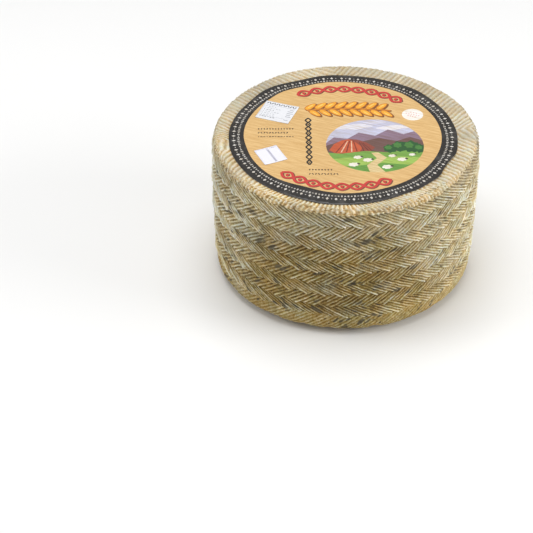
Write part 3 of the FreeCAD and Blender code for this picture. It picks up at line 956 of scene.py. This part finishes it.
def beads_on_arc(art, radius, high, start, stop, pitch, colour):
    """A fine border of upright bars with a lozenge after every sixth."""
    way = 1 if stop > start else -1
    for k in range(int(abs(stop - start) * radius / pitch)):
        at = start + way * (k + 0.5) * pitch / radius
        if k % 7 == 6:
            lozenge(art, radius * math.cos(at), radius * math.sin(at), at, high * 0.26, pitch * 0.42, colour)
        else:
            art.arc_box(radius, high * (1.0 if k % 2 else 0.66), at, pitch * 0.50 / radius, colour)


def row_of_marks(art, start, stop, high, pitch, colour, kind=0):
    """A straight row of plain ornament: 0 lozenges, 1 slanting bars, 2 dashes."""
    p, q = np.array(start, float), np.array(stop, float)
    length = float(np.hypot(*(q - p)))
    d = (q - p) / length
    turn = math.atan2(d[1], d[0])
    count = max(1, int(length / pitch))
    for k in range(count):
        x, y = p + d * (k + 0.5) * length / count
        if kind == 0:
            lozenge(art, x, y, turn, pitch * 0.36, high * 0.5, colour)
        elif kind == 1:
            art.box(x, y, pitch * 0.42, high * 0.9, turn + (0.5 if k % 2 else -0.5), colour)
        else:
            art.box(x, y, pitch * (0.74 if k % 3 else 0.40), high * 0.45, turn, colour)


def draw_label():
    art = Drawing()
    art.disc(0, 0, 86, 86, 0, BLACK, 120, gloss=1.0)
    t = np.linspace(0, 2 * math.pi, 180, endpoint=False)
    inner = 69.6 + 0.0 * t
    for at, wide, by in ((85, 36, 1.5), (-25, 26, -0.7), (-138, 12, 0.8), (-114, 9, -1.2), (-88, 10, 0.7), (-168, 9, -0.6), (52, 7, 0.4), (128, 6, 0.5)):
        d = np.mod(t - math.radians(at) + math.pi, 2 * math.pi) - math.pi
        inner = inner + by * np.exp(-(d / math.radians(wide)) ** 2)
    art.fill(np.stack([inner * np.cos(t), 0.6 + inner * np.sin(t)], 1), TAN)

    # the dark ring carries a pale border and a fine row of beads all the way round
    deg = math.radians
    border_on_arc(art, 76.6, 1.6, deg(90), deg(-270), 3.0, linear(214, 212, 208))
    beads_on_arc(art, 73.2, 1.8, deg(0), deg(360), 2.2, GREYED)

    # two red ribbons, above and below: two waves that cross, with drops between
    radius, reach, waves = 62.0, 3.6, 8
    for first, last, dx, dy, shade, extra in (
            (120, 46, 0.55, -0.55, linear(120, 74, 52), 0.5), (120, 46, 0, 0, linear(206, 62, 58), 0.0),
            (-134, -60, 0.55, -0.55, linear(120, 74, 52), 0.5), (-134, -60, 0, 0, linear(206, 62, 58), 0.0)):
        t = np.linspace(deg(first), deg(last), 110)
        share = (t - t[0]) / (t[-1] - t[0])
        for sign in (1, -1):
            rr = radius + sign * reach * np.sin(2 * math.pi * waves / 2 * share)
            path = np.stack([rr * np.cos(t) + dx, rr * np.sin(t) + dy], 1)
            art.stroke(path, 1.9 + extra, shade)
        for k in range(waves):
            at = t[0] + (t[-1] - t[0]) * (k + 0.5) / waves
            art.disc(radius * math.cos(at) + dx, radius * math.sin(at) + dy, 1.5 + extra / 2, 1.2 + extra / 2, at, shade, 12)

    # the picture: a generic hill pasture
    cx, cy = 22.0, -12.0

    def spot(points, colour, swell=0.0):
        art.fill([(cx + px, cy + py) for px, py in points], colour)

    t = np.linspace(0, 2 * math.pi, 60, endpoint=False)
    wobble = 34.0 + 0.0 * t
    edge = np.stack([wobble * np.cos(t), wobble * 0.97 * np.sin(t)], 1)

    def clip(points):
        """Keep a picture's piece inside its round edge."""
        out = []
        for px, py in points:
            r, a = math.hypot(px, py), math.atan2(py, px)
            limit = float(np.interp(a % (2 * math.pi), np.append(t, 2 * math.pi), np.append(wobble, wobble[0]))) + 0.05
            limit *= math.hypot(math.cos(a), 0.97 * math.sin(a))
            out.append((px * min(1, limit / max(r, 1e-9)), py * min(1, limit / max(r, 1e-9))))
        return out

    turn = deg(6)
    tc, ts = math.cos(turn), math.sin(turn)

    def piece(points, colour):
        turned = [(px * tc - py * ts, px * ts + py * tc) for px, py in points]
        dense = []
        for p, q in zip(turned, turned[1:] + turned[:1]):
            n = max(1, int(math.hypot(q[0] - p[0], q[1] - p[1]) / 3))
            dense += [(p[0] + (q[0] - p[0]) * s / n, p[1] + (q[1] - p[1]) * s / n) for s in range(n)]
        spot(clip(dense), colour)

    def blob(px, py, rx, ry, colour, lumps=7, seed=0):
        k = np.random.RandomState(seed)
        tt = np.linspace(0, 2 * math.pi, 22, endpoint=False)
        rad = 1 + 0.13 * np.sin(lumps * tt + k.rand() * 6) + 0.06 * np.sin((lumps * 2 + 1) * tt)
        piece([(px + rx * a * math.cos(b), py + ry * a * math.sin(b)) for a, b in zip(rad, tt)], colour)

    def aside(points):
        """The furrowed hill stands small and off to the left."""
        return [(0.62 * px - 17.0, 0.60 * py - 1.0) for px, py in points]

    spot(edge.tolist(), linear(198, 200, 226))
    blob(-12, 25, 13, 3.4, linear(226, 226, 240), 5, 1)
    blob(16, 21, 11, 2.8, linear(230, 228, 238), 4, 2)
    blob(4, 29, 8, 2.0, linear(214, 214, 234), 4, 3)
    # far hills, and a broad terracotta hill with furrows
    piece([(-36, 4), (-27, 13), (-18, 10), (-9, 17), (2, 12), (12, 19), (22, 12), (30, 15), (37, 6), (37, -8), (-36, -8)], linear(140, 118, 138))
    piece([(-36, 2), (-22, 8), (-10, 5), (4, 9), (16, 4), (26, 8), (37, 1), (37, -10), (-36, -10)], linear(112, 84, 80))
    piece(aside([(-25, -3), (-18, 9), (-9, 15.5), (0, 17.5), (9, 15.5), (19, 8), (27, -3), (20, -11), (-18, -11)]), linear(196, 92, 56))
    piece(aside([(0, 17.5), (9, 15.5), (19, 8), (27, -3), (20, -11), (8, -11), (13, -2), (8, 8)]), linear(146, 74, 60))
    for k, x0 in enumerate((-19, -13, -7, -1, 5)):
        piece(aside([(x0, -9), (x0 + 1.5, -9), (x0 * 0.35 + 3.2, 13.5 - 0.1 * k), (x0 * 0.35 + 2.3, 14)]), linear(232, 196, 170) if k % 2 else linear(128, 52, 36))
    for k, x0 in enumerate((13, 18, 22)):
        piece(aside([(x0, -9), (x0 + 1.2, -9), (x0 * 0.4 + 6.0, 9.5 - k), (x0 * 0.4 + 5.2, 10 - k)]), linear(96, 52, 46))
    # meadow in two greens, with a path
    piece([(-37, -5), (-24, -8), (-8, -6.5), (8, -9.5), (24, -7), (37, -10), (37, -37), (-37, -37)], linear(120, 168, 76))
    piece([(-37, -14), (-20, -13), (-4, -17), (12, -15), (37, -19), (37, -37), (-37, -37)], linear(158, 194, 92))
    piece([(-37, -22), (-18, -24), (2, -22), (20, -26), (37, -25), (37, -37), (-37, -37)], linear(104, 158, 70))
    piece([(-4, -9), (1, -9), (6, -16), (-2, -24), (4, -36), (-8, -36), (-9, -24), (-1, -16)], linear(222, 200, 150))
    # one row of trees along the right
    for px, py, rx, ry, sd in ((10, -5, 4.6, 5.0, 11), (17, -3, 5.2, 6.4, 12), (25, -4, 5.6, 7.2, 13), (31, -7, 4.6, 5.4, 14)):
        blob(px, py, rx, ry, linear(40, 92, 46), 7, sd)
        blob(px - rx * 0.25, py + ry * 0.28, rx * 0.55, ry * 0.5, linear(74, 130, 62), 6, sd + 20)
    # sheep: pale bodies with dark heads
    for px, py, size in ((-14, -13.5, 1.0), (-7.5, -17.5, 1.15), (10, -14, 0.9), (16, -19, 1.15), (4.5, -27, 1.2), (-18, -22, 1.2), (24, -14, 0.8)):
        blob(px, py, 2.9 * size, 1.9 * size, linear(240, 238, 230), 8, int(px * 7 + 200))
        blob(px + 2.9 * size, py + 0.5 * size, 0.95 * size, 0.8 * size, linear(70, 58, 52), 4, 5)

    # golden wheat ear level above the picture, with a dark edge and a soft shadow
    p0, p1 = np.array([-25.0, 34.0]), np.array([36.0, 34.0])
    d = (p1 - p0) / np.hypot(*(p1 - p0))
    up = np.array([-d[1], d[0]])
    length = float(np.hypot(*(p1 - p0)))
    line_turn = math.atan2(d[1], d[0])

    def along(s, h=0.0):
        share = s / length
        return p0 + d * s + up * (h + 2.4 * 4 * share * (1 - share) - 1.2)

    grains = []
    s = 3.0
    while s < length - 4:
        size = 1.00 + 0.12 * math.sin(math.pi * min(1, s / length * 1.05))
        grains.append((s, 1, size))
        grains.append((s + 3.2, -1, size))
        s += 7.3

    def leaf(s, side, size, colour, grow, dx, dy):
        base = along(s, side * 4.5 * size) + np.array([dx, dy])
        tilt = line_turn + side * math.radians(46)
        n = 16
        tt = np.linspace(0, 2 * math.pi, n, endpoint=False)
        lx = (5.0 * size + grow) * np.cos(tt)
        ly = (2.05 * size + grow) * np.sin(tt) * (1 - 0.25 * np.cos(tt))
        c, sn = math.cos(tilt), math.sin(tilt)
        art.fill(np.stack([base[0] + lx * c - ly * sn, base[1] + lx * sn + ly * c], 1), colour)

    for g in grains:
        leaf(*g, linear(132, 84, 36), 0.75, 0.9, -1.0)
    stem = [along(v) for v in np.linspace(0.5, length - 1, 40)]
    art.stroke([p + np.array([0.8, -0.9]) for p in stem], 2.2, linear(132, 84, 36))
    for g in grains:
        leaf(*g, linear(196, 116, 34), 0.45, 0.0, 0.0)
    art.stroke(stem, 1.7, linear(206, 130, 40))
    for g in grains:
        leaf(*g, linear(248, 178, 56), -0.15, 0.0, 0.0)
    for s, side, size in grains:
        base = along(s, side * 4.9 * size)
        art.disc(base[0], base[1], 2.7 * size, 0.55, line_turn + side * math.radians(46), linear(255, 214, 118), 10)

    # a column of dark lozenges beside the picture, then rows of small marks
    q0, q1 = np.array([-24.0, 20.0]), np.array([-24.0, -33.0])
    for k in range(10):
        at = q0 + (q1 - q0) * k / 9 + up * 1.2 * 4 * (k / 9) * (1 - k / 9)
        wide = 1.75 if k % 2 else 2.15
        ink = linear(38, 35, 32)
        for a0, a1 in (((-wide, 0), (0, 3.1)), ((0, 3.1), (wide, 0)), ((wide, 0), (0, -3.1)), ((0, -3.1), (-wide, 0))):
            c, sn = math.cos(line_turn), math.sin(line_turn)
            line = [(at[0] + x * c - y * sn, at[1] + x * sn + y * c) for x, y in (a0, a1)]
            art.stroke(line, 1.25, ink)
        if k % 2:
            art.disc(at[0], at[1], 0.7, 0.7, 0, ink, 8)

    small = linear(78, 64, 44)
    for n, (p, q) in enumerate((((-60, 9), (-34, 9)), ((-60, 4), (-38, 4)), ((-60, -1), (-34, -1)),
                                ((-25, -42), (-8, -42)), ((-25, -47), (-4, -47)))):
        row_of_marks(art, p, q, 2.1, 2.0, small, n % 3)

    # pale oval seal with faint lines
    sx, sy = 50.5, 27.5
    art.disc(sx, sy, 7.6, 7.6, deg(-20), linear(246, 244, 242), 36)
    for k, (h, w) in enumerate(((2.6, 6.0), (0.2, 11.0), (-2.3, 7.0))):
        c, s_ = math.cos(deg(-20)), math.sin(deg(-20))
        row_of_marks(art, (sx - w / 2 * c - h * s_, sy - w / 2 * s_ + h * c),
                     (sx + w / 2 * c - h * s_, sy + w / 2 * s_ + h * c), 1.5, 1.6, linear(232, 176, 176), 0)
    return art


label_art = draw_label()
for k, (outline, shade, gloss) in enumerate(label_art.shapes):
    label_art.shapes[k] = (to_wheel(outline, LABEL_X, LABEL_Y), shade, gloss)
t = np.linspace(0, 2 * math.pi, 240, endpoint=False)
rim_r = LABEL_R + paper_reach(LABEL_X + np.cos(t), LABEL_Y + np.sin(t))
label_rim = to_wheel(np.stack([rim_r * np.cos(t), rim_r * np.sin(t)], 1), LABEL_X, LABEL_Y)
label = lay_drawing("label_sheet", label_art, label_rim, 2.0, label_top, 0.22)


def paper_material(name, grain_and_sheen=False, rough=0.55):
    m = Nodes(name)
    fine = m.noise(1400.0, 3.0, 0.55)
    wide = m.noise(26.0, 3.0, 0.5)
    colour = m.paint("print")
    if grain_and_sheen:
        # fine wood-like streaks, seen on the tan but not on the dark ring
        grain = m.noise(1.0, 4.0, 0.6, ((60.0, 900.0, 10.0), math.radians(22)))
        colour = m.mix(1.0, colour, m.mix(m.span(grain, 0.34, 0.66), linear(232, 222, 205), (1, 1, 1, 1)), "MULTIPLY")
    colour = m.mix(1.0, colour, m.grey(m.span(wide, 0.3, 0.7, 0.955, 1.0)), "MULTIPLY")
    colour = m.mix(1.0, colour, m.grey(m.span(fine, 0.3, 0.7, 0.97, 1.0)), "MULTIPLY")
    if grain_and_sheen:
        # painted sheen: the dark ring is painted paler in soft patches
        painted_sheen = m.math("MULTIPLY", m.value("shine"), m.span(m.noise(75.0, 4.0, 0.6), 0.50, 0.72))
        colour = m.mix(m.math("MULTIPLY", painted_sheen, 0.22), colour, linear(128, 124, 120))
    m.link(colour, m.shader.inputs["Base Color"])
    shine = m.math("MULTIPLY", m.value("shine"), 0.20)
    m.link(m.math("SUBTRACT", m.span(fine, 0.2, 0.8, rough - 0.03, rough + 0.05), shine), m.shader.inputs["Roughness"])
    m.link(m.bump(fine, 0.00004, 0.6), m.shader.inputs["Normal"])
    return m.material


label.data.materials.append(paper_material("label_print", True))
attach(label, "root")
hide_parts("paper_label")


# -------------------------------------------------------------- paper stickers
def build_sticker(name, node, wide, deep, turn, draw):
    low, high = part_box(node)
    cx, cy = (low.x + high.x) / 2 / MM, (low.y + high.y) / 2 / MM
    art = Drawing()
    draw(art, wide, deep)
    for k, (outline, shade, gloss) in enumerate(art.shapes):
        art.shapes[k] = (to_wheel(outline, cx, cy, turn), shade, gloss)
    w, d = wide / 2, deep / 2
    rim = []
    for (ax, ay), (bx, by) in (((-w, -d), (w, -d)), ((w, -d), (w, d)), ((w, d), (-w, d)), ((-w, d), (-w, -d))):
        rim += [(ax + (bx - ax) * s / 8, ay + (by - ay) * s / 8) for s in range(8)]
    rim = to_wheel(rim, cx, cy, turn)

    def height(x, y):
        c, s = math.cos(turn), math.sin(turn)
        a = np.abs((x - cx) * c + (y - cy) * s) / w
        b = np.abs(-(x - cx) * s + (y - cy) * c) / d
        return label_top(x, y) + 0.17 + 0.16 * (a * b) ** 3
    obj = lay_drawing(name, art, rim, 1.5, height, 0.15)
    obj.data.materials.append(paper_material(name + "_print", False, 0.5))
    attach(obj, "root")
    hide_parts(node)
    return obj


def draw_wide(art, wide, deep):
    rng = np.random.RandomState(5)
    white, grey, pale = linear(226, 227, 231), linear(120, 122, 128), linear(176, 178, 184)
    art.fill([(-wide, -deep), (wide, -deep), (wide, deep), (-wide, deep)], white)
    w, d = wide / 2, deep / 2
    row_of_marks(art, (-w + 1.2, d - 2.3), (w - 1.2, d - 2.3), 2.2, 1.7, linear(64, 64, 68), 1)
    art.box(0, d - 4.4, wide - 2.4, 0.35, 0, pale)
    for k in range(7):
        y = d - 6.4 - k * 2.25
        reach = -w + 1.4 + (wide * (0.30 + 0.24 * rng.rand()))
        row_of_marks(art, (-w + 1.4, y), (reach, y), 1.5, 1.9, grey if k in (2, 6) else pale, 2)
        if k not in (5,):
            art.box(w - 3.2 - (k % 2) * 0.6, y, 3.2 + (k % 3) * 0.8, 0.9, 0, pale)
    art.box(-1.5, -d + 4.6, wide - 6, 0.3, 0, pale)


def draw_small(art, wide, deep):
    art.fill([(-wide, -deep), (wide, -deep), (wide, deep), (-wide, deep)], linear(231, 230, 241))
    w, d = wide / 2, deep / 2
    art.box(0.6, 0, 2.0, deep - 1.2, 0, linear(206, 205, 218))
    row_of_marks(art, (0.6, -d + 1.0), (0.6, d - 3.0), 1.4, 1.5, linear(142, 140, 156), 0)
    row_of_marks(art, (w - 6.2, d - 1.5), (w - 1.0, d - 1.5), 1.4, 1.3, linear(150, 150, 160), 2)


build_sticker("sticker_wide", "wide_sticker", 25.0, 23.5, math.radians(-21), draw_wide)
build_sticker("sticker_small", "small_sticker", 17.0, 19.0, math.radians(24), draw_small)

# --------------------------------------------------------------- stage and light
floor_mesh = bpy.data.meshes.new("floor")
floor_mesh.from_pydata([(-6, -6, 0), (6, -6, 0), (6, 6, 0), (-6, 6, 0)], [], [(0, 1, 2, 3)])
floor = bpy.data.objects.new("floor", floor_mesh)
bpy.context.scene.collection.objects.link(floor)
fm = Nodes("floor")
fm.shader.inputs["Base Color"].default_value = (0.86, 0.86, 0.855, 1)
fm.shader.inputs["Roughness"].default_value = 0.9
floor_mesh.materials.append(fm.material)

world = bpy.data.worlds.new("studio")
bpy.context.scene.world = world
world.use_nodes = True
world.node_tree.nodes["Background"].inputs[0].default_value = (1.0, 1.0, 1.0, 1)
world.node_tree.nodes["Background"].inputs[1].default_value = 0.34


def softbox(name, place, aim, size, power):
    data = bpy.data.lights.new(name, "AREA")
    data.shape = "RECTANGLE"
    data.size, data.size_y = size
    data.energy = power
    lamp = bpy.data.objects.new(name, data)
    lamp.location = place
    lamp.rotation_euler = (Vector(aim) - Vector(place)).to_track_quat("-Z", "Y").to_euler()
    bpy.context.scene.collection.objects.link(lamp)
    return lamp


softbox("overhead", (-0.1, 0.10, 1.40), (0, 0, 0.06), (1.1, 0.9), 13.3)
softbox("right", (1.22, -0.30, 0.44), (0, 0, 0.05), (0.7, 0.8), 11.4)
softbox("left", (-1.25, -0.05, 0.60), (0, 0, 0.06), (0.7, 0.8), 5.6)
softbox("front", (0.45, -1.35, 0.20), (0, 0, 0.02), (0.9, 0.3), 1.2)

# camera: fitted to the outlines of the wheel and its label
TILT, FOCAL, FAR = 0.649, 1962.8, 15.36
U0, V0 = 342.19, 256.2
R = 0.094
tx = (U0 - 266.5) / FOCAL * FAR * R
ty = (V0 - 266.5) / FOCAL * FAR * R
tz = FAR * R
cam_data = bpy.data.cameras.new("camera")
cam_data.sensor_width = 36.0
cam_data.lens = FOCAL / 533.0 * 36.0
cam = bpy.data.objects.new("camera", cam_data)
cam.location = (-tx, math.sin(TILT) * ty - math.cos(TILT) * tz, math.cos(TILT) * ty + math.sin(TILT) * tz)
cam.rotation_euler = (math.pi / 2 - TILT, 0, 0)
bpy.context.scene.collection.objects.link(cam)
bpy.context.scene.camera = cam
bpy.context.scene.view_settings.view_transform = "Standard"

for piece in bpy.context.scene.objects:
    if piece.type == "MESH" and len(piece.data.polygons) > 100:
        print(piece.name, sum(len(p.vertices) - 2 for p in piece.data.polygons), "triangles")
